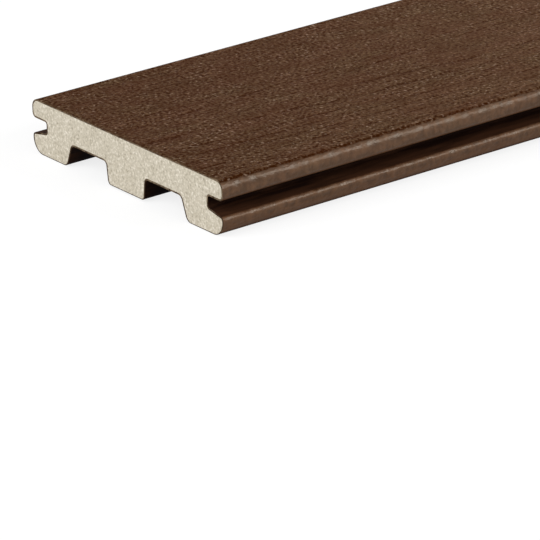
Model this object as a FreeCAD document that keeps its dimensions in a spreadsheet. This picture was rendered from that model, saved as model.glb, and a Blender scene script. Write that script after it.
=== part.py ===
import FreeCAD, Part
import os
import Sketcher

# A grooved deck board: a pale core inside a thin cap, which covers its top, its sides,
# its clip grooves and its scalloped underside. Both end flush at the two sawn ends.
# The board lies on its two outer feet. Its length runs along +Y from the near end to the far
# end, its width along X and its thickness along +Z. The origin is the middle of its bottom.

# Driving sizes, in millimetres
SIZES = {
    # the board
    "board_length": 2438,
    "board_width": 139.7,
    "board_thick": 25.4,
    # the cap round the core, thinner under the feet
    "cap_wall": 0.8,
    "cap_foot": 0.35,
    # the upper lip, whose top edge is the rounded nose of the walking face
    "lip_thick": 9.0,
    "nose_round": 4.2,
    "lip_round": 2.4,
    # the clip groove below it, whose floor falls towards its mouth
    "groove_depth": 10.6,
    "groove_gap": 5.3,
    "groove_fall": 2.0,
    "groove_round": 1.1,
    # the lower lip and the outer foot that it runs down into
    "low_lip_round": 2.0,
    "foot_edge_round": 7.0,
    "foot_width": 25.8,
    # the middle foot, which clears the ground, and the channel on each side of it
    "mid_foot_width": 26.6,
    "mid_foot_lift": 0.6,
    "channel_height": 10.7,
    "mid_wall_lean": 1.2,
    "side_wall_lean": 4.0,
    # the roundings at the channels' ceilings and at the feet
    "mid_channel_round": 2.0,
    "side_channel_round": 2.6,
    "mid_foot_round": 2.2,
    "side_foot_round": 3.4,
}

doc = FreeCAD.newDocument("decking_board")
sheet = doc.addObject("Spreadsheet::Sheet", "Sizes")
for row, (alias, value) in enumerate(SIZES.items(), start=1):
    sheet.set(f"A{row}", alias)
    sheet.set(f"B{row}", str(value))
    sheet.setAlias(f"B{row}", alias)
doc.recompute()


def value_of(expression):
    """The number that an expression on the sheet has now."""
    return float(sheet.evalExpression(expression))


def section_corners(wall, foot):
    """The sharp corners of the section's right half, from the middle foot round to the nose.

    Each corner is a name with three expressions on the sheet: its x, its z and its rounding.
    The outline lies inside the board's skin by wall, and by foot where the feet stand.
    """
    half = "Sizes.board_width / 2"
    ceiling = "(Sizes.board_thick - Sizes.lip_thick)"
    floor = f"({ceiling} - Sizes.groove_gap)"
    channel_top = f"(Sizes.channel_height + {wall})"

    def mid_wall(z):
        lean = "Sizes.mid_wall_lean / Sizes.channel_height"
        return f"Sizes.mid_foot_width / 2 + {lean} * {z} - {wall} * sqrt(1 + ({lean})^2)"

    def side_wall(z):
        lean = "Sizes.side_wall_lean / Sizes.channel_height"
        return f"{half} - Sizes.foot_width - {lean} * {z} + {wall} * sqrt(1 + ({lean})^2)"

    def groove_floor(run):
        fall = "Sizes.groove_fall / Sizes.groove_depth"
        return f"{floor} - {fall} * ({run}) - {wall} * sqrt(1 + ({fall})^2)"

    side = f"{half} - {wall}"
    mid_foot = f"(Sizes.mid_foot_lift + {foot})"
    low_lip = groove_floor(f"Sizes.groove_depth - {wall}")
    groove_back = f"{side} - Sizes.groove_depth"
    foot_inset = f"({wall} + {foot}) / 2"
    edge_room = f"({floor} - Sizes.groove_fall - Sizes.low_lip_round)"
    return [
        ("mid_foot", mid_wall(mid_foot), mid_foot, f"Sizes.mid_foot_round - {foot_inset}"),
        ("mid_channel", mid_wall(channel_top), channel_top, f"Sizes.mid_channel_round + {wall}"),
        ("side_channel", side_wall(channel_top), channel_top,
         f"Sizes.side_channel_round + {wall}"),
        ("side_foot", side_wall(foot), foot, f"Sizes.side_foot_round - {foot_inset}"),
        ("foot_edge", side, foot, f"min(Sizes.foot_edge_round; {edge_room}) - {foot_inset}"),
        ("low_lip", side, low_lip, f"Sizes.low_lip_round - {wall}"),
        ("groove_low", groove_back, groove_floor(f"-({wall})"), f"Sizes.groove_round + {wall}"),
        ("groove_high", groove_back, f"{ceiling} + {wall}", f"Sizes.groove_round + {wall}"),
        ("lip", side, f"{ceiling} + {wall}", f"Sizes.lip_round - {wall}"),
        ("nose", side, f"Sizes.board_thick - {wall}", f"Sizes.nose_round - {wall}"),
    ]


def draw_section(body, corners):
    """A closed sketch across the board, whose left half mirrors the right half's corners."""
    sketch = body.newObject("Sketcher::SketchObject", f"{body.Name}_section")
    plane = next(item for item in body.Origin.OriginFeatures if item.Role == "XZ_Plane")
    sketch.AttachmentSupport = [(plane, "")]
    sketch.MapMode = "FlatFace"

    right = [FreeCAD.Vector(value_of(x), value_of(z), 0) for name, x, z, rounding in corners]
    left = [FreeCAD.Vector(-point.x, point.y, 0) for point in reversed(right)]
    outline = right + left
    count = len(outline)
    for index, point in enumerate(outline):
        sketch.addGeometry(Part.LineSegment(point, outline[(index + 1) % count]), False)
    for index in range(count):
        sketch.addConstraint(Sketcher.Constraint("Coincident", index, 2, (index + 1) % count, 1))

    upright_axis = -2
    for index, (name, x, z, rounding) in enumerate(corners):
        for kind, letter, expression in (("DistanceX", "x", x), ("DistanceY", "z", z)):
            measure = Sketcher.Constraint(kind, -1, 1, index, 1, value_of(expression))
            number = sketch.addConstraint(measure)
            sketch.renameConstraint(number, f"{name}_{letter}")
            sketch.setExpression(f"Constraints.{name}_{letter}", expression)
        mirror = Sketcher.Constraint("Symmetric", index, 1, count - 1 - index, 1, upright_axis)
        sketch.addConstraint(mirror)
    return sketch


def edges_along(shape, x, z):
    """Names of the two long edges that run down the board at this corner, right and left."""
    names = []
    for number, edge in enumerate(shape.Edges, start=1):
        start, end = edge.Vertexes[0].Point, edge.Vertexes[-1].Point
        lengthwise = abs(start.x - end.x) < 1e-6 and abs(start.z - end.z) < 1e-6
        if lengthwise and abs(abs(start.x) - x) < 1e-4 and abs(start.z - z) < 1e-4:
            names.append(f"Edge{number}")
    assert len(names) == 2, (x, z, names)
    return names


def extruded_board(label, wall, foot):
    """A board whose skin lies inside the outer one by wall, and by foot under the feet."""
    body = doc.addObject("PartDesign::Body", label)
    body.Label = label
    corners = section_corners(wall, foot)
    sketch = draw_section(body, corners)
    pad = body.newObject("PartDesign::Pad", f"{label}_length")
    pad.Profile = sketch
    pad.setExpression("Length", "Sizes.board_length")
    pad.Midplane = True
    doc.recompute()

    solid = pad
    for name, x, z, rounding in corners:
        fillet = body.newObject("PartDesign::Fillet", f"{label}_{name}_round")
        fillet.Base = (solid, edges_along(solid.Shape, value_of(x), value_of(z)))
        fillet.setExpression("Radius", rounding)
        doc.recompute()
        solid = fillet
    body.Tip = solid
    return body


# The board's whole outside, the core inside it, and the cap as what lies between the two
board = extruded_board("board", "0", "0")
core = extruded_board("core", "Sizes.cap_wall", "Sizes.cap_foot")
cap = doc.addObject("Part::Cut", "cap")
cap.Label = "cap"
cap.Base = board
cap.Tool = core
doc.recompute()

for item in doc.Objects:
    faults = {"Invalid", "Error"} & set(item.State)
    assert not faults, (item.Label, item.State)

os.makedirs("parts", exist_ok=True)
for piece in (core, cap):
    shape = piece.Shape
    assert not shape.isNull() and shape.isValid() and len(shape.Solids) == 1, piece.Label
    shape.exportStep(f"parts/{piece.Label}.step")
    box = shape.BoundBox
    print(f"{piece.Label}: {shape.Volume / 1000:.1f} cm3, x {box.XMin:.3f} to {box.XMax:.3f},"
          f" y {box.YMin:.3f} to {box.YMax:.3f}, z {box.ZMin:.3f} to {box.ZMax:.3f}")
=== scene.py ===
# %% [markdown]
# # A grooved deck board
#
# The board is a pale core pressed out together with a thin brown cap. This lesson dresses its
# plain solids: it draws the section once, makes a core and a cap from it, presses a wood grain
# into the walking face, and builds one finish for the sawn core and one for the cap.
#
# Everything is in metres, in the frame of the solids: the length runs along Y, the width along
# X, and the board lies on the plane z = 0. Only the grain and the finishes count in
# millimetres, because their patterns are a few millimetres wide.

# %% Load the solids and measure them
import math

import bmesh
import bpy
from mathutils import Color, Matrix, Quaternion, Vector, noise


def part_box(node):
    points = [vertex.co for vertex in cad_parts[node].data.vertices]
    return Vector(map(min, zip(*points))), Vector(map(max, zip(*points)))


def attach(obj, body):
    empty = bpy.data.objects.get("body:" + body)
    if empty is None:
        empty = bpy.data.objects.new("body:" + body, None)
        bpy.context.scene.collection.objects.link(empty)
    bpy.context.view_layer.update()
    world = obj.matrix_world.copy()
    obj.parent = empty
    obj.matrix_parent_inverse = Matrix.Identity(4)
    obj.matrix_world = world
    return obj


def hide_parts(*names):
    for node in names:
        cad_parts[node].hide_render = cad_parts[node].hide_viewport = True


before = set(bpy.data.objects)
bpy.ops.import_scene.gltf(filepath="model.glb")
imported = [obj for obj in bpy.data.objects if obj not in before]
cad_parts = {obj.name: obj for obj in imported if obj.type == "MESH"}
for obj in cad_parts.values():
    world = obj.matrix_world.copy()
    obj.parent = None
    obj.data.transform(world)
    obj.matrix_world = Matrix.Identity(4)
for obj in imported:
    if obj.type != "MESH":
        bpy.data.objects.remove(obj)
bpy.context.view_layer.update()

MM = 0.001
low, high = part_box("cap")
HALF_WIDTH = high.x
THICK = high.z
NEAR_END = low.y
FAR_END = high.y
LENGTH = FAR_END - NEAR_END
print("solids:", ", ".join(sorted(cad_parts)))
print(f"board {2 * HALF_WIDTH / MM:.1f} mm wide, {THICK / MM:.1f} mm thick,"
      f" {LENGTH / MM:.0f} mm long")

# %% [markdown]
# ## The camera
#
# The photograph is taken with a long lens from the right of the near end and a little above the
# board, so the board's edges run almost parallel. A camera can be aimed at a point or turned by
# angles. This one has a place in the board's own frame and three angles, because each angle
# moves the picture in one way only: round the board, up, and a slight tilt. It comes first,
# because every later choice is judged through it.

# %% Place the camera
CAMERA_PLACE = Vector((1.4131, NEAR_END - 0.9934, 0.6617))
CAMERA_LENS = 285.1
LOOK_ROUND = math.radians(52.861)
LOOK_DOWN = math.radians(22.041)
CAMERA_TILT = math.radians(-1.368)
NEAREST_SEEN = 0.1
FARTHEST_SEEN = 200.0


def direction_from(round_angle, up_angle):
    """The direction from the board towards something that stands this far round and up."""
    flat = math.cos(up_angle)
    return Vector((math.sin(round_angle) * flat, -math.cos(round_angle) * flat,
                   math.sin(up_angle)))


camera_data = bpy.data.cameras.new("camera")
camera_data.lens = CAMERA_LENS
camera_data.clip_start = NEAREST_SEEN
camera_data.clip_end = FARTHEST_SEEN
camera = bpy.data.objects.new("camera", camera_data)
camera.location = CAMERA_PLACE
camera.rotation_mode = "QUATERNION"
looking = (-direction_from(LOOK_ROUND, LOOK_DOWN)).to_track_quat("-Z", "Y")
camera.rotation_quaternion = looking @ Quaternion((0, 0, 1), CAMERA_TILT)
bpy.context.collection.objects.link(camera)
bpy.context.scene.camera = camera
bpy.context.scene.view_settings.view_transform = "Standard"
print("camera stands at", [round(value, 3) for value in camera.location])

# %% [markdown]
# ## Shader maths
#
# A finish is a sum of small patterns. Its nodes could be added and linked one by one, but a sum
# reads best as a plain expression. `Wire` wraps one output of a node: adding, multiplying or
# dividing wires adds a Math node, and `node` adds any other kind. Its settings are set first,
# then each input gets a value or another wire.

# %% A small class for shader expressions
# A Mix node keeps its sockets for colours behind those for numbers and vectors.
MIX_FIRST = 6
MIX_SECOND = 7
MIX_RESULT = 2


class Wire:
    """One output of a node, which expressions can be written with."""

    def __init__(self, tree, socket=None):
        self.tree = tree
        self.socket = socket

    def node(self, kind, settings=None, inputs=None, output=0):
        """An output of a new node; settings are its properties, inputs its values and wires."""
        made = self.tree.nodes.new(kind)
        for name, value in (settings or {}).items():
            setattr(made, name, value)
        for name, value in (inputs or {}).items():
            if isinstance(value, Wire):
                self.tree.links.new(value.socket, made.inputs[name])
            else:
                made.inputs[name].default_value = value
        return Wire(self.tree, made.outputs[output])

    def calc(self, operation, first, second=0.0):
        """A Math node of this operation."""
        return self.node("ShaderNodeMath", {"operation": operation}, {0: first, 1: second})

    def __add__(self, other):
        return self.calc("ADD", self, other)

    def __sub__(self, other):
        return self.calc("SUBTRACT", self, other)

    def __rsub__(self, other):
        return self.calc("SUBTRACT", other, self)

    def __mul__(self, other):
        return self.calc("MULTIPLY", self, other)

    def __truediv__(self, other):
        return self.calc("DIVIDE", self, other)

    def __abs__(self):
        return self.calc("ABSOLUTE", self)

    __radd__ = __add__
    __rmul__ = __mul__

    def larger(self, other):
        """The larger of the two."""
        return self.calc("MAXIMUM", self, other)

    def sine(self):
        """The sine of an angle in radians."""
        return self.calc("SINE", self)

    def cosine(self):
        """The cosine of an angle in radians."""
        return self.calc("COSINE", self)

    def root(self):
        """The square root."""
        return self.calc("SQRT", self)

    def rise(self, start, end):
        """0 up to start, 1 from end on, and a smooth step between; end may be below start."""
        settings = {"interpolation_type": "SMOOTHSTEP"}
        inputs = {"Value": self, "From Min": start, "From Max": end}
        return self.node("ShaderNodeMapRange", settings, inputs)

    def axes(self):
        """The X, Y and Z of a position."""
        split = self.node("ShaderNodeSeparateXYZ", None, {0: self})
        return [Wire(self.tree, socket) for socket in split.socket.node.outputs]

    def noise(self, sizes, detail=2.0, roughness=0.5, shift=0.0):
        """Smooth noise round 0, between about -0.5 and 0.5, on a position in millimetres.

        sizes are the width of one patch along X, Y and Z, and shift moves the noise, so that
        no two patterns follow each other.
        """
        scaled = self.node("ShaderNodeVectorMath", {"operation": "DIVIDE"}, {0: self, 1: sizes})
        moved = self.node("ShaderNodeVectorMath", {"operation": "ADD"},
                          {0: scaled, 1: (shift, 2 * shift, 3 * shift)})
        inputs = {"Vector": moved, "Scale": 1.0, "Detail": detail, "Roughness": roughness}
        return self.node("ShaderNodeTexNoise", None, inputs) - 0.5

    def blend(self, first, second):
        """A colour that is first where this wire is 0 and second where it is 1."""
        return self.node("ShaderNodeMix", {"data_type": "RGBA", "clamp_factor": True},
                         {0: self, MIX_FIRST: first, MIX_SECOND: second}, MIX_RESULT)

    def tint(self, first, second, colour):
        """The colour times a tint that is first where this wire is 0 and second where it is 1."""
        factors = self.blend(first, second)
        return self.node("ShaderNodeMix", {"data_type": "RGBA", "blend_type": "MULTIPLY"},
                         {0: 1.0, MIX_FIRST: colour, MIX_SECOND: factors}, MIX_RESULT)


print("shader expressions can be written")

# %% [markdown]
# ## Materials and colours
#
# A finish could start from Blender's ready-made material, but an empty one holds nothing that
# the lesson doesn't explain. Its patterns read Object coordinates, which belong to the piece and
# stay on it when it is moved or exported. Colours are written as a screen shows them, from 0 to
# 255, because that is how they were measured in the photograph, and are then made linear.

# %% Helpers for materials


def new_material(name):
    """An empty material, and a wire to add its nodes with."""
    material = bpy.data.materials.new(name)
    material.use_nodes = True
    material.node_tree.nodes.clear()
    return material, Wire(material.node_tree)


def place_in_mm(maker):
    """The position on the piece, in millimetres."""
    place = maker.node("ShaderNodeTexCoord", output="Object")
    return maker.node("ShaderNodeVectorMath", {"operation": "SCALE"},
                      {0: place, "Scale": 1 / MM})


def mixed(part, first, second):
    """A surface that is first where part is 0 and second where it is 1."""
    return part.node("ShaderNodeMixShader", None, {0: part, 1: first, 2: second})


def show(surface, kind="ShaderNodeOutputMaterial"):
    """Connects a surface to the output of its tree."""
    output = surface.tree.nodes.new(kind)
    surface.tree.links.new(surface.socket, output.inputs["Surface"])


def rgb(red, green, blue):
    """A linear colour from the 0 to 255 values that a screen shows."""
    shown = Color((red / 255, green / 255, blue / 255))
    return (*shown.from_srgb_to_scene_linear(), 1.0)


print("a screen's middle grey is", round(rgb(128, 128, 128)[0], 3), "in linear light")

# %% [markdown]
# ## The floor
#
# The photograph shows the board on pure white. A floor that is white to every ray would throw
# its light up into the channels and grooves, which are dark in the photograph. So the floor is
# two surfaces, and the Light Path node tells the rays apart: it is a plain grey to the light
# that it throws back, and white to the camera, where it keeps the board's shadow.

# %% Lay the floor
FLOOR_RADIUS = 90.0
FLOOR_SIDES = 64
FLOOR_GAP = 0.2 * MM
FLOOR_BOUNCE = (0.45, 0.45, 0.45, 1.0)
FLOOR_SEEN = (0.22, 0.22, 0.22, 1.0)
FLOOR_GLOW = 0.81


def seen_directly(maker):
    """1 for a ray that comes from the camera, from a gloss or through glass, else 0."""
    camera_ray = maker.node("ShaderNodeLightPath", output="Is Camera Ray")
    glossy_ray = maker.node("ShaderNodeLightPath", output="Is Glossy Ray")
    clear_ray = maker.node("ShaderNodeLightPath", output="Is Transmission Ray")
    return camera_ray.larger(glossy_ray).larger(clear_ray)


def floor_material():
    """Grey where light bounces, white with the board's shadow where it is looked at."""
    material, maker = new_material("pale_floor")
    bounce = maker.node("ShaderNodeBsdfDiffuse", None, {"Color": FLOOR_BOUNCE})
    shaded = maker.node("ShaderNodeBsdfDiffuse", None, {"Color": FLOOR_SEEN})
    glow = maker.node("ShaderNodeEmission", None, {"Strength": FLOOR_GLOW})
    seen = maker.node("ShaderNodeAddShader", None, {0: shaded, 1: glow})
    show(mixed(seen_directly(maker), bounce, seen))
    return material


bm = bmesh.new()
bmesh.ops.create_circle(bm, cap_ends=True, segments=FLOOR_SIDES, radius=FLOOR_RADIUS)
bmesh.ops.translate(bm, verts=bm.verts, vec=(0, 0, -FLOOR_GAP))
floor_mesh = bpy.data.meshes.new("floor")
bm.to_mesh(floor_mesh)
bm.free()
floor = bpy.data.objects.new("floor", floor_mesh)
floor.data.materials.append(floor_material())
bpy.context.collection.objects.link(floor)
print(f"floor {2 * FLOOR_RADIUS:.0f} m across")

# %% [markdown]
# ## The light
#
# The photograph has soft light from in front and from behind, which draws a bright line along
# the nosings, and a weak fill from the camera's side. Area lamps could be those soft boxes, but
# beside a board this long they would light one end more than the other. Lamps of the Sun kind
# with a wide angle are soft boxes that stand infinitely far away, so the light is the same all
# along. The world fills the shade with a low grey and is white where it is looked at.

# %% Hang the lamps and set the world
WORLD_LIGHT = 0.41
WORLD_COLOUR = (1.0, 1.0, 1.0, 1.0)

# name, angle round the board, angle up, strength over pi, width of the soft box
LAMPS = [
    ("front_box", -12, 36, 0.66, 50),
    ("nosing_strip", 128, 24.5, 0.46, 24),
    ("side_fill", 75, 22, 0.12, 40),
]

for name, round_angle, up_angle, level, width in LAMPS:
    lamp = bpy.data.lights.new(name, "SUN")
    lamp.energy = level * math.pi
    lamp.angle = math.radians(width)
    holder = bpy.data.objects.new(name, lamp)
    towards = direction_from(math.radians(round_angle), math.radians(up_angle))
    holder.rotation_euler = towards.to_track_quat("Z", "Y").to_euler()
    bpy.context.collection.objects.link(holder)

world = bpy.data.worlds.new("studio")
world.use_nodes = True
world.node_tree.nodes.clear()
sky = Wire(world.node_tree)
strength = WORLD_LIGHT + seen_directly(sky) * (1 - WORLD_LIGHT)
show(sky.node("ShaderNodeBackground", None, {"Color": WORLD_COLOUR, "Strength": strength}),
     "ShaderNodeOutputWorld")
bpy.context.scene.world = world
print(len(LAMPS), "lamps hang")

# %% [markdown]
# ## The section
#
# A deck board is pressed through a die, so its whole form is one section, pushed out. The
# section could be a long list of points along its curves. Only its sharp corners are written
# down instead, for the right half, each with the radius that rounds it, and the left half
# mirrors them. The core has the same corners, set inside the skin by the cap's wall, and by a
# thinner one under the feet.

# %% Write down the section's sizes
CAP_WALL = 0.8 * MM
CAP_FOOT = 0.35 * MM
LIP_THICK = 9.0 * MM
NOSE_ROUND = 4.2 * MM
LIP_ROUND = 2.4 * MM
GROOVE_DEPTH = 10.6 * MM
GROOVE_GAP = 5.3 * MM
GROOVE_FALL = 2.0 * MM
GROOVE_ROUND = 1.1 * MM
LOW_LIP_ROUND = 2.0 * MM
FOOT_EDGE_ROUND = 7.0 * MM
FOOT_WIDTH = 25.8 * MM
MID_FOOT_WIDTH = 26.6 * MM
MID_FOOT_LIFT = 0.6 * MM
CHANNEL_HEIGHT = 10.7 * MM
MID_WALL_LEAN = 1.2 * MM
SIDE_WALL_LEAN = 4.0 * MM
MID_CHANNEL_ROUND = 2.0 * MM
SIDE_CHANNEL_ROUND = 2.6 * MM
MID_FOOT_ROUND = 2.2 * MM
SIDE_FOOT_ROUND = 3.4 * MM


def half_section(wall, foot):
    """The right half's corners from the middle foot to the nose: across, up, rounding.

    wall and foot are how far they are set inside the skin. A corner between the two kinds of
    wall is rounded less by the mean of both.
    """
    ceiling = THICK - LIP_THICK
    channel_top = CHANNEL_HEIGHT + wall
    mid_foot = MID_FOOT_LIFT + foot
    mid_lean = MID_WALL_LEAN / CHANNEL_HEIGHT
    side_lean = SIDE_WALL_LEAN / CHANNEL_HEIGHT
    fall = GROOVE_FALL / GROOVE_DEPTH
    side = HALF_WIDTH - wall
    groove_back = side - GROOVE_DEPTH
    foot_inset = (wall + foot) / 2

    def mid_wall(up):
        return MID_FOOT_WIDTH / 2 + mid_lean * up - wall * math.hypot(1, mid_lean)

    def side_wall(up):
        return HALF_WIDTH - FOOT_WIDTH - side_lean * up + wall * math.hypot(1, side_lean)

    def groove_floor(run):
        return ceiling - GROOVE_GAP - fall * run - wall * math.hypot(1, fall)

    return [
        (mid_wall(mid_foot), mid_foot, MID_FOOT_ROUND - foot_inset),
        (mid_wall(channel_top), channel_top, MID_CHANNEL_ROUND + wall),
        (side_wall(channel_top), channel_top, SIDE_CHANNEL_ROUND + wall),
        (side_wall(foot), foot, SIDE_FOOT_ROUND - foot_inset),
        (side, foot, FOOT_EDGE_ROUND - foot_inset),
        (side, groove_floor(GROOVE_DEPTH - wall), LOW_LIP_ROUND - wall),
        (groove_back, groove_floor(-wall), GROOVE_ROUND + wall),
        (groove_back, ceiling + wall, GROOVE_ROUND + wall),
        (side, ceiling + wall, LIP_ROUND - wall),
        (side, THICK - wall, NOSE_ROUND - wall),
    ]


def whole_section(wall, foot):
    """All the corners in order, with the left half as the mirror of the right."""
    right = half_section(wall, foot)
    left = [(-across, up, rounding) for across, up, rounding in reversed(right)]
    return right + left


print(len(whole_section(0, 0)), "corners in the section")

# %% [markdown]
# The corners become one face, and a vertex bevel rounds each of them with equally many steps,
# so that the outlines of the core and the cap match point for point. A bevel is told how far
# from the corner it starts, and for an arc that is its radius times the tangent of half the turn.

# %% Draw the section with rounded corners
ROUND_STEPS = 14


def draw_outline(bm, corners):
    """Adds the section as one face at the near end, its corners rounded, and returns it."""
    points = [Vector((across, NEAR_END, up)) for across, up, _ in corners]
    verts = [bm.verts.new(point) for point in points]
    face = bm.faces.new(verts)
    for index, vert in enumerate(verts):
        before = points[index] - points[index - 1]
        after = points[(index + 1) % len(points)] - points[index]
        rounding = corners[index][2]
        made = bmesh.ops.bevel(bm, geom=[vert],
                               offset=rounding * math.tan(before.angle(after) / 2),
                               offset_type="OFFSET", affect="VERTICES",
                               segments=ROUND_STEPS, profile=0.5, material=-1,
                               clamp_overlap=False)
        face = made["verts"][0].link_faces[0]
    return face


print("each corner is rounded in", ROUND_STEPS, "steps")

# %% [markdown]
# Every piece of the board is then finished in the same two steps: it is pushed out along the
# whole length, as the press does, and its mesh becomes an object. Smooth shading suits the
# roundings, and edges that turn by more than a certain angle stay sharp, such as the sawn ends'.

# %% Push out a section and make it an object
SHARP_ANGLE = math.radians(35)


def push_out(bm):
    """Extrudes everything drawn so far along the board's whole length."""
    pushed = bmesh.ops.extrude_face_region(bm, geom=list(bm.faces))["geom"]
    verts = [item for item in pushed if isinstance(item, bmesh.types.BMVert)]
    bmesh.ops.translate(bm, verts=verts, vec=(0, LENGTH, 0))
    bmesh.ops.recalc_face_normals(bm, faces=bm.faces)


def finish_piece(name, bm):
    """Makes an object of the mesh, smooth over roundings and sharp at the sawn ends."""
    for face in bm.faces:
        face.smooth = True
    for edge in bm.edges:
        edge.smooth = edge.calc_face_angle(0) < SHARP_ANGLE
    mesh = bpy.data.meshes.new(name)
    bm.to_mesh(mesh)
    bm.free()
    mesh.validate()
    piece = bpy.data.objects.new(name, mesh)
    bpy.context.collection.objects.link(piece)
    triangles = sum(len(polygon.vertices) - 2 for polygon in mesh.polygons)
    print(f"{name}: {triangles} triangles")
    return piece


print(f"edges over {math.degrees(SHARP_ANGLE):.0f} degrees stay sharp")

# %% [markdown]
# ## The core
#
# The core is the pale body of the board and shows only on the two sawn ends. Its solid has the
# right shape already. It is drawn again all the same, because then its outline has the very
# points of the cap's inside, and the two meet with no gap.

# %% Make the core
bm = bmesh.new()
core_face = draw_outline(bm, whole_section(CAP_WALL, CAP_FOOT))
print(f"core section {core_face.calc_area() / MM ** 2:.0f} square millimetres")
push_out(bm)
core = finish_piece("cream_core", bm)

# %% [markdown]
# ## The cap
#
# The cap is what lies between the outer outline and the core's. It could be a boolean of two
# solids, which leaves untidy triangles. The two outlines have equally many points, so one bridge
# between them makes the ring of the sawn end, and one extrusion makes the whole wall.

# %% Bridge the two outlines and push out the cap
bm = bmesh.new()
outer_face = draw_outline(bm, whole_section(0, 0))
outer_area = outer_face.calc_area()
inner_face = draw_outline(bm, whole_section(CAP_WALL, CAP_FOOT))
inner_area = inner_face.calc_area()
outlines = list(bm.edges)
bmesh.ops.delete(bm, geom=list(bm.faces), context="FACES_ONLY")
bmesh.ops.bridge_loops(bm, edges=outlines)
ring_area = sum(face.calc_area() for face in bm.faces)
print(f"ring {ring_area / MM ** 2:.1f}, outlines apart"
      f" {(outer_area - inner_area) / MM ** 2:.1f} square millimetres")
push_out(bm)

# %% [markdown]
# ## The pressed grain
#
# A roller presses a wood grain into the walking face while the board is still soft. It copies a
# plain-sawn plank: growth rings are tubes, and a cut that leaves them at a shallow angle shows
# nested arches in the middle and nearly straight lines beside them. Wavy stripes of noise would
# be simpler, but they make no arches. So a ring is where the distance from the trunk's heart is
# a whole number of ring widths, and the heart's depth under the face swings once in each turn of
# the roller. The same sum is needed twice, for the relief of the mesh and for the colour, so it
# is written for any kind of number that can be added.

# %% Describe the grain
RING_WIDE = 7.3
ARCH_RING = 2
ARCH_PLACE = 97.0
HEART_ACROSS = 4.8
HEART_DEPTH = ARCH_RING * RING_WIDE
# in square millimetres, because it is the depth's square that swings
HEART_SWING = 205.0
ROLLER_TURN = 689.0
# the size of each wave in the lines, its length along the board and its width across it
WAVES = ((0.7, 41.0, 23.0), (0.35, 11.0, 15.0), (0.2, 4.3, 9.0), (1.0, 500.0, 5.3))


def ring_place(across, along, sine, root):
    """How many ring widths this place lies from the heart; all lengths in millimetres.

    sine and root are the functions to use, so that numbers and wires can both be given.
    """
    from_end = along - NEAR_END / MM
    angle = (from_end - ARCH_PLACE) * (2 * math.pi / ROLLER_TURN)
    depth_squared = HEART_DEPTH ** 2 - HEART_SWING * sine(angle)
    aside = across - HEART_ACROSS
    wander = 0.0
    for size, long, wide in WAVES:
        wander = wander + size * sine(from_end / long + aside / wide)
    return (root(aside * aside + depth_squared) + wander) / RING_WIDE


arch = ring_place(HEART_ACROSS, ARCH_PLACE + NEAR_END / MM, math.sin, math.sqrt)
print(f"{ARCH_PLACE:.0f} mm from the end the middle is {arch:.2f} rings from the heart")

# %% [markdown]
# The field between the nosings lies a little lower than they do, and its border wanders. The
# face gets a grid, with short steps across and long ones along, because the rings run
# lengthwise, and each of its points is pressed down. What is finer than the grid is left to the
# bump of the finish.

# %% Divide the walking face into a grid
GRID_ALONG = 5.2 * MM
GRID_ACROSS = 0.70 * MM
SAME_HEIGHT = 1e-7

rows = round(LENGTH / GRID_ALONG)
half_field = HALF_WIDTH - NOSE_ROUND
columns = round(2 * half_field / GRID_ACROSS)

walking_face = max(bm.faces, key=lambda face: face.calc_center_median().z)
long_edges = [edge for edge in walking_face.edges if edge.calc_length() > LENGTH / 2]
bmesh.ops.subdivide_edges(bm, edges=long_edges, cuts=rows - 1)
cross_edges = [edge for edge in bm.edges
               if min(vert.co.z for vert in edge.verts) > THICK - SAME_HEIGHT
               and abs(edge.verts[0].co.x - edge.verts[1].co.x) > half_field]
bmesh.ops.subdivide_edges(bm, edges=cross_edges, cuts=columns - 1)
print(f"grid of {rows} by {columns}")

# %% Press the grain into the walking face
FIELD_SUNK = 0.16 * MM
BORDER_WIDE = 2.2 * MM
BORDER_WANDER = 0.8 * MM
BORDER_WAVE = 14 * MM
STREAK_DEEP = 0.08 * MM
STREAK_SIZE = (3.2 * MM, 16 * MM)
FINE_STREAK = 0.5
FINER = 2.3
RING_DEEP = 0.12 * MM
RING_EDGE = 0.62
RING_START = ARCH_RING - 0.7
RING_FULL = ARCH_RING - 0.4
PLAIN_ACROSS = -24.0
RINGED_ACROSS = -9.0


def smooth_step(value):
    """0 below 0, 1 above 1, and a smooth rise between."""
    part = min(1.0, max(0.0, value))
    return part * part * (3 - 2 * part)


def field_part(x, y):
    """1 inside the sunk field and 0 on the nosings, with a border that wanders."""
    border = 5.0 if x > 0 else 9.0
    wander = BORDER_WANDER * noise.noise((y / BORDER_WAVE, border, 0.5))
    return smooth_step((half_field - abs(x) + wander) / BORDER_WIDE)


def pressed_depth(x, y):
    """How far below the nosing the walking face lies at this place."""
    place = Vector((x / STREAK_SIZE[0], y / STREAK_SIZE[1], 0.3))
    streak = noise.noise(place) + FINE_STREAK * noise.noise(FINER * place)
    rings = ring_place(x / MM, y / MM, math.sin, math.sqrt)
    line = smooth_step((math.cos(2 * math.pi * rings) - RING_EDGE) / (1 - RING_EDGE))
    line *= smooth_step((rings - RING_START) / (RING_FULL - RING_START))
    line *= smooth_step((x / MM - PLAIN_ACROSS) / (RINGED_ACROSS - PLAIN_ACROSS))
    depth = FIELD_SUNK + STREAK_DEEP * (0.5 + 0.5 * streak) + RING_DEEP * line
    return field_part(x, y) * depth


deepest = 0.0
for vert in bm.verts:
    if vert.co.z > THICK - SAME_HEIGHT and abs(vert.co.x) < half_field - SAME_HEIGHT:
        depth = max(0.0, pressed_depth(vert.co.x, vert.co.y))
        vert.co.z -= depth
        deepest = max(deepest, depth)
print(f"pressed up to {deepest / MM:.2f} mm")
cap = finish_piece("embossed_cap", bm)

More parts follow.
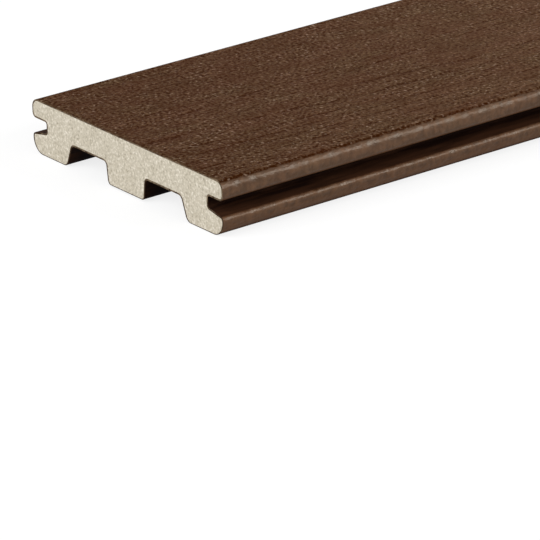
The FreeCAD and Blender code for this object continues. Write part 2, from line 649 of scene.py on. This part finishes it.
# %% [markdown]
# ## The core's finish
#
# The sawn core is a matt cream compound of wood flour and resin. Close up it is mottled: pale
# and greyish flecks a millimetre or two across, a few dark fibres, and a fine sawn roughness.
# The flecks could be cells with sharp borders, but sawn ones have soft borders, as noise has.
# Three sizes of noise are added up, and their sum gives the pale flecks where it is high, the
# grey ones where it is low, and the bump.

# %% Mix the core's finish
CREAM = rgb(207, 198, 179)
CREAM_PALE = rgb(238, 230, 215)
CREAM_GREY = rgb(164, 154, 134)
CORE_PATCH = (7.0, 7.0, 7.0)
CORE_FLECK = (1.25, 1.25, 1.25)
CORE_FIBRE = (0.7, 0.7, 0.7)
FIBRE_PART = 0.4
PATCH_PART = 0.3
PALE_GAIN = 3.6
GREY_GAIN = 3.0
SAWN_DEEP = 0.25 * MM


def core_finish():
    """Mottled cream with fine flecks."""
    material, maker = new_material("sawn_cream_core")
    place = place_in_mm(maker)
    patches = place.noise(CORE_PATCH)
    flecks = place.noise(CORE_FLECK, roughness=0.6, shift=3.0)
    fibres = place.noise(CORE_FIBRE, detail=1.0, shift=7.0)
    tone = flecks + fibres * FIBRE_PART + patches * PATCH_PART
    pale = (tone * PALE_GAIN).rise(0.0, 1.0)
    grey = (tone * -GREY_GAIN).rise(0.0, 1.0)
    colour = grey.blend(pale.blend(CREAM, CREAM_PALE), CREAM_GREY)
    bump = maker.node("ShaderNodeBump", None, {"Height": tone, "Distance": SAWN_DEEP})
    show(maker.node("ShaderNodeBsdfPrincipled", None,
                    {"Base Color": colour, "Roughness": 0.85, "Specular IOR Level": 0.2,
                     "Normal": bump}))
    return material


core.data.materials.append(core_finish())
print("core finish has", len(core.data.materials[0].node_tree.nodes), "nodes")

# %% [markdown]
# ## The cap's finish: the walking face
#
# The cap is one brown plastic with four surfaces, and each gets a shader of its own. The walking
# face is embossed and dull, with small pebbles, short streaks and the darker lines of the rings.
# Its pale specks are painted glints, and the dark line along its border is painted shade. Pebbles
# this small would take millions of triangles as a mesh, so they are bump. Their height goes into
# the colour as well, as painted shade in the hollows and painted light on the crests, because the
# hollows of the real face hold less light than bump can show. Slow patches of tone and hue keep
# the long face from looking even, a slow slanted drift is partly a painted change of light along
# the board, and beside the saw cut it turns a little greener.

# %% Values that the whole cap shares
OLIVE_TINT = (0.97, 1.01, 0.94, 1.0)
RED_TINT = (1.05, 0.985, 0.97, 1.0)
GRAIN_DEEP = 1.1 * MM
TOP = THICK / MM
SIDE = HALF_WIDTH / MM
END = FAR_END / MM
print(f"in millimetres the cap reaches {SIDE:.2f} aside, {END:.0f} endways and {TOP:.1f} up")

# %% Draw the lines of the rings
LINE_EDGE = 0.78
LINE_STEEP = (-0.3, 0.8)


def ring_lines(across, along):
    """1 on the middle of a ring's line, 0 between the rings, and faint above the heart."""
    rings = ring_place(across, along, Wire.sine, Wire.root)
    lines = (rings * (2 * math.pi)).cosine().rise(LINE_EDGE, 1.0)
    lines = lines * rings.rise(RING_START, RING_FULL)
    steep = abs(across - HEART_ACROSS) / (rings * RING_WIDE)
    return lines * steep.rise(*LINE_STEEP) * across.rise(PLAIN_ACROSS, RINGED_ACROSS)


print(f"a line fills {math.acos(LINE_EDGE) / math.pi:.0%} of a ring's width")

# %% Mix the walking face
BROWN_DEEP = rgb(50, 21, 0)
BROWN_HIGH = rgb(155, 124, 98)
PAINTED_GLINT_PALE = rgb(162, 137, 120)

PEBBLE = (1.4, 1.6, 1.4)
STREAK = (1.2, 14.0, 1.2)
FACE_PATCH = (30.0, 110.0, 30.0)
ROUGH_PATCH = (7.0, 16.0, 7.0)
RING_BREAK = (6.0, 22.0, 6.0)
FACE_HUE = (11.0, 26.0, 11.0)

STREAK_PART = 0.35
ROUGH_HEIGHT = 1.5
RING_SHARE = 0.42
BREAK_GAIN = 2.2
RING_WHOLE = 0.7
PAINTED_GLINT_RANGE = (0.10, 0.36)
PAINTED_GLINT_SHARE = 0.45
PAINTED_GLINT_ROUGH = 1.6

DRIFT_LONG = 110.0
DRIFT_START = 1.4
FACE_TONE = 0.174
HEIGHT_TONE = 1.04
PATCH_TONE = 0.08
ROUGH_TONE = 0.13
DRIFT_TONE_AND_LIGHT = 0.04
RING_TONE = 0.14
RIM_SHADE_TONE = 0.14
RING_BUMP = 0.15

FACE_HUE_GAIN = 2.2
FACE_HUE_MIDDLE = 0.64
CUT_HUE = 0.8
CUT_HUE_WIDE = 3.5


def embossed_surface(place, across, along, rim_shade):
    """The dull walking face."""
    rough = place.noise(ROUGH_PATCH, shift=13.0)
    pebbles = place.noise(PEBBLE, roughness=0.6)
    streaks = place.noise(STREAK, shift=4.0)
    height = (pebbles + streaks * STREAK_PART) * (1.0 + rough * ROUGH_HEIGHT)
    breaks = place.noise(RING_BREAK, shift=9.0)
    rings = ring_lines(across, along) * (RING_SHARE + breaks * BREAK_GAIN).rise(0.0, RING_WHOLE)

    patches = place.noise(FACE_PATCH, shift=2.0)
    slanted = (along + across - NEAR_END / MM) / DRIFT_LONG
    # the drift is partly slow tone and partly a painted change of light along the board
    drift = (slanted - DRIFT_START).sine()
    tone = FACE_TONE + height * HEIGHT_TONE + patches * PATCH_TONE + rough * ROUGH_TONE
    # the rim takes off painted shade along the field's border
    tone = tone + drift * DRIFT_TONE_AND_LIGHT - rings * RING_TONE - rim_shade * RIM_SHADE_TONE
    # painted glints: sparse pale specks where light would glint on the pebbles
    painted_glints = place.noise(PEBBLE, detail=0.0, shift=12.0).rise(*PAINTED_GLINT_RANGE)
    painted_glints = painted_glints * (PAINTED_GLINT_SHARE + rough * PAINTED_GLINT_ROUGH)
    colour = painted_glints.blend(tone.blend(BROWN_DEEP, BROWN_HIGH), PAINTED_GLINT_PALE)

    beside_cut = abs(along).rise(END - CUT_HUE_WIDE, END)
    hue = place.noise(FACE_HUE, detail=3.0, shift=14.0) * FACE_HUE_GAIN + FACE_HUE_MIDDLE
    hue = hue - rough - beside_cut * CUT_HUE
    bump = place.node("ShaderNodeBump", None,
                      {"Height": height - rings * RING_BUMP, "Distance": GRAIN_DEEP})
    return place.node("ShaderNodeBsdfPrincipled", None,
                      {"Base Color": hue.tint(OLIVE_TINT, RED_TINT, colour),
                       "Roughness": 0.75, "Specular IOR Level": 0.02, "Normal": bump})


print(f"the face's drift comes again every {2 * math.pi * DRIFT_LONG:.0f} mm")

# %% [markdown]
# ## The cap's finish: nosings and lips
#
# The nosings, the sides and the lips are as the die left them, smooth and satin. One even colour
# with a gloss would look like new pipe. The real surface has soft marks across its length, so
# one noise is narrow along Y and wide the other ways, and blotches join it in the colour, the
# bump and the gloss. The upper lip gets painted shade towards the groove, and the lower lip a
# painted highlight along its top edge.

# %% Mix the nosings and lips
SATIN_DARK = rgb(68, 42, 21)
SATIN_PALE = rgb(98, 67, 44)
SATIN_GLOSS = (1.0, 0.90, 0.76, 1.0)

MARK = (7.0, 2.6, 5.0)
BLOTCH = (2.6, 4.2, 2.6)
SATIN_PATCH = (14.0, 22.0, 14.0)
SATIN_HUE = (8.0, 18.0, 8.0)

MARK_GAIN = 3.0
SATIN_TONE = 0.40
MARK_TONE = 1.7
BLOTCH_TONE = 1.7
SATIN_PATCH_TONE = 0.7
SATIN_RIM_SHADE_TONE = 0.7
MARK_BUMP = 0.10
BLOTCH_BUMP = 0.50
SATIN_ROUGH = 0.38
BLOTCH_ROUGH = 0.4
SATIN_HUE_GAIN = 1.2
SATIN_HUE_MIDDLE = 0.50

# heights over the floor, from where a change starts to where it is full
UPPER_HALF = (12.0, 14.0)
UPPER_LIP_DARK = (TOP - 4.5, TOP - 7.5)
UPPER_LIP_DARKER = (TOP - 7.0, TOP - 8.8)
LOWER_LIP_UP = (6.0, 8.0)
LOWER_LIP_DOWN = (12.0, 11.0)
UPPER_LIP_SHADE_TONE = 0.4
LOWER_LIP_HIGHLIGHT_TONE = 0.2


def satin_surface(place, up, rim_shade):
    """The smooth nosings and sides, with soft marks across their length."""
    marks = place.noise(MARK, detail=3.0, shift=5.0)
    blotches = place.noise(BLOTCH, detail=3.0, shift=6.0)
    patches = place.noise(SATIN_PATCH, shift=15.0)
    marks = marks * (1.0 + patches * MARK_GAIN)
    # painted shade on the upper lip's side towards the groove
    shade = up.rise(*UPPER_LIP_DARK) + up.rise(*UPPER_LIP_DARKER)
    # painted highlight along the lower lip's top edge
    lower_lip_highlight = up.rise(*LOWER_LIP_UP) * up.rise(*LOWER_LIP_DOWN)
    tone = SATIN_TONE + marks * MARK_TONE + blotches * BLOTCH_TONE
    # the rim's painted shade runs onto the nosings as well
    tone = tone + patches * SATIN_PATCH_TONE - rim_shade * SATIN_RIM_SHADE_TONE
    tone = tone + lower_lip_highlight * LOWER_LIP_HIGHLIGHT_TONE - shade * up.rise(*UPPER_HALF) * UPPER_LIP_SHADE_TONE
    hue = place.noise(SATIN_HUE, shift=16.0) * SATIN_HUE_GAIN + SATIN_HUE_MIDDLE
    colour = hue.tint(OLIVE_TINT, RED_TINT, tone.blend(SATIN_DARK, SATIN_PALE))
    height = marks * MARK_BUMP + blotches * BLOTCH_BUMP
    bump = place.node("ShaderNodeBump", None, {"Height": height, "Distance": GRAIN_DEEP})
    return place.node("ShaderNodeBsdfPrincipled", None,
                      {"Base Color": colour, "Roughness": SATIN_ROUGH + blotches * BLOTCH_ROUGH,
                       "Specular IOR Level": 0.36, "Specular Tint": SATIN_GLOSS,
                       "Normal": bump})


print(f"the gloss keeps {SATIN_GLOSS[2]:.0%} of the blue light, so it looks warm")

# %% [markdown]
# ## The cap's finish: grooves, channels and underside
#
# These recesses are the same plastic, but the photograph shows them only in shade, dull and
# nearly black. Lamps alone could leave them dark, but then light that is soft enough for the
# nosings fills them. So their shade is painted into their colours: darkest in the channels, from
# a little inside the sawn ends on, and paler where light reaches, on the groove's floor near its
# mouth, at the mouth and on the feet's outer sides, which darken towards the floor.

# %% Mix the recesses
# colours of the recesses' painted shade
RECESS_SHADE_DEEP = rgb(23, 9, 4)
RECESS_SHADE_PALE = rgb(58, 34, 20)
FOOT_SIDE_LIT = rgb(96, 66, 44)
CHANNEL_SHADE = rgb(5, 1, 1)

RECESS_MARK = (2.5, 24.0, 2.5)
RECESS_TONE = 0.15
RECESS_MARK_TONE = 2.4
GROOVE_FLOOR_LIGHT = 0.7
FOOT_TONE = 0.9
FOOT_MARK_TONE = 1.2
MOUTH_TONE = 1.1
CHANNEL_TONE = 0.95
FOOT_LEAST_LIT = 0.3

# distances from the middle and heights, from where a part starts to where it is full
FLOOR_ASIDE = (SIDE - 8.5, SIDE - 3.5)
FLOOR_UP = (7.0, 9.0)
FLOOR_DOWN = (13.0, 11.5)
FOOT_ASIDE = (SIDE - 8.0, SIDE - 5.0)
FOOT_DOWN = (7.5, 4.5)
FOOT_UP = (0.0, 4.0)
MOUTH_ASIDE = (SIDE - 3.6, SIDE - 1.2)
MOUTH_UP = (13.0, 15.0)
CHANNEL_ASIDE = (SIDE - 18.0, SIDE - 22.0)
CHANNEL_ENDWAYS = (END + 2.0, END - 11.0)


def shaded_recess_surface(place, aside, endways, up):
    """The dull walls of the grooves, the channels and the underside, with their shade painted in.
    """
    marks = place.noise(RECESS_MARK, detail=3.0, shift=1.0)
    # painted light on the groove's floor, more towards its mouth
    groove_floor = aside.rise(*FLOOR_ASIDE) * up.rise(*FLOOR_UP) * up.rise(*FLOOR_DOWN)
    tone = RECESS_TONE + marks * RECESS_MARK_TONE + groove_floor * GROOVE_FLOOR_LIGHT
    colour = tone.blend(RECESS_SHADE_DEEP, RECESS_SHADE_PALE)
    # painted light on the feet's outer sides and at the groove's mouth, with painted shade
    # towards the floor
    foot = aside.rise(*FOOT_ASIDE) * up.rise(*FOOT_DOWN)
    foot = foot * (FOOT_LEAST_LIT + up.rise(*FOOT_UP) * (1 - FOOT_LEAST_LIT))
    mouth = aside.rise(*MOUTH_ASIDE) * up.rise(*MOUTH_UP)
    lit = foot.larger(mouth * MOUTH_TONE) * (FOOT_TONE + marks * FOOT_MARK_TONE)
    colour = lit.blend(colour, FOOT_SIDE_LIT)
    # painted shade: the channels are darkest from a little inside the sawn ends on
    channel = aside.rise(*CHANNEL_ASIDE) * endways.rise(*CHANNEL_ENDWAYS)
    colour = (channel * CHANNEL_TONE).blend(colour, CHANNEL_SHADE)
    return place.node("ShaderNodeBsdfPrincipled", None,
                      {"Base Color": colour, "Roughness": 0.8, "Specular IOR Level": 0.05})


print(f"the channels are darkest from {END - CHANNEL_ENDWAYS[1]:.0f} mm inside the ends on")

# %% [markdown]
# ## The cap's finish: the cut edge
#
# On the sawn ends the cap shows its cut edge, a thin line round the core, which the saw has
# smeared with cream dust. A plain brown line would look drawn. So brown and dust are mixed by a
# noise, and the line is darker low down.

# %% Mix the cut edge
CUT_DARK = rgb(60, 43, 28)
CUT_DUSTY = rgb(134, 117, 95)
DUST = (2.4, 2.4, 2.4)
DUST_MIDDLE = 0.5
DUST_GAIN = 3.0
CUT_DARKER_LOW = (11.2, 9.2)
CUT_DARKER_AMOUNT = 0.75


def cut_surface(place, up):
    """The cap's cut edge on the sawn ends, smeared with cream dust."""
    dust = DUST_MIDDLE + place.noise(DUST, detail=3.0, shift=17.0) * DUST_GAIN
    # the cut edge turns darker low down
    dust = dust - up.rise(*CUT_DARKER_LOW) * CUT_DARKER_AMOUNT
    return place.node("ShaderNodeBsdfPrincipled", None,
                      {"Base Color": dust.blend(CUT_DARK, CUT_DUSTY), "Roughness": 0.9,
                       "Specular IOR Level": 0.1})


print(f"the cut edge is {CAP_WALL / MM} mm wide")

# %% [markdown]
# ## Where each surface lies
#
# The four surfaces could be materials on faces of their own, but their borders fade and wander,
# as the die and the roller leave them, and no edge of the mesh follows them. So each border is a
# mask: a smooth step on the place across, along or up, which mixes two surfaces.

# %% Put the cap's surfaces together
FIELD_EDGE = SIDE - NOSE_ROUND / MM
RAGGED = (2.2, 3.4, 2.2)

# distances from the middle and heights, from where a mask starts to where it is full
FIELD_ASIDE = (FIELD_EDGE + 2.9, FIELD_EDGE + 2.2)
FIELD_UP = (TOP - 2.0, TOP - 1.5)
# the rim is a line of painted shade where the field's border slopes away from the light
RIM_SHADE_INNER = (FIELD_EDGE + 0.9, FIELD_EDGE + 1.6)
RIM_SHADE_OUTER = (FIELD_EDGE + 3.1, FIELD_EDGE + 2.4)
RECESS_ASIDE = (SIDE - 0.3, SIDE - 2.0)
UNDER_LIP_ASIDE = (SIDE - 0.05, SIDE - 0.6)
RECESS_DOWN = (TOP - 3.0, TOP - 6.0)
UNDERSIDE_DOWN = (8.5, 1.5)
UNDERSIDE_PART = 0.92
CUT_ENDWAYS = (END - 0.04, END - 0.02)


def shaded_recess_part(aside, up):
    """Where the recesses get painted shade: 1 in the grooves, nearly 1 on the underside; under
    the upper lip it starts earlier.
    """
    inside = aside.rise(*RECESS_ASIDE)
    under_lip = aside.rise(*UNDER_LIP_ASIDE) * up.rise(*UPPER_HALF)
    grooves = inside.larger(under_lip) * up.rise(*RECESS_DOWN)
    return grooves.larger(up.rise(*UNDERSIDE_DOWN) * UNDERSIDE_PART)


def cap_finish():
    """The embossed field, the satin nosings and lips, the dull recesses and the cut edge."""
    material, maker = new_material("brown_cap")
    place = place_in_mm(maker)
    across, along, up = place.axes()
    aside = abs(across)
    endways = abs(along)
    ragged = aside + place.noise(RAGGED, shift=8.0)
    field = ragged.rise(*FIELD_ASIDE) * up.rise(*FIELD_UP)
    rim_shade = ragged.rise(*RIM_SHADE_INNER) * ragged.rise(*RIM_SHADE_OUTER)
    surface = mixed(shaded_recess_part(aside, up), satin_surface(place, up, rim_shade),
                    shaded_recess_surface(place, aside, endways, up))
    surface = mixed(field, surface, embossed_surface(place, across, along, rim_shade))
    show(mixed(endways.rise(*CUT_ENDWAYS), surface, cut_surface(place, up)))
    return material


cap.data.materials.append(cap_finish())
print("cap finish has", len(cap.data.materials[0].node_tree.nodes), "nodes")

# %% [markdown]
# ## Put the pieces in place of the solids
#
# Each finished piece stands for one solid, whose own mesh is hidden, and rides on the board's
# only body.

# %% Stand in for the solids
for piece, node in ((core, "core"), (cap, "cap")):
    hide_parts(node)
    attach(piece, "root")
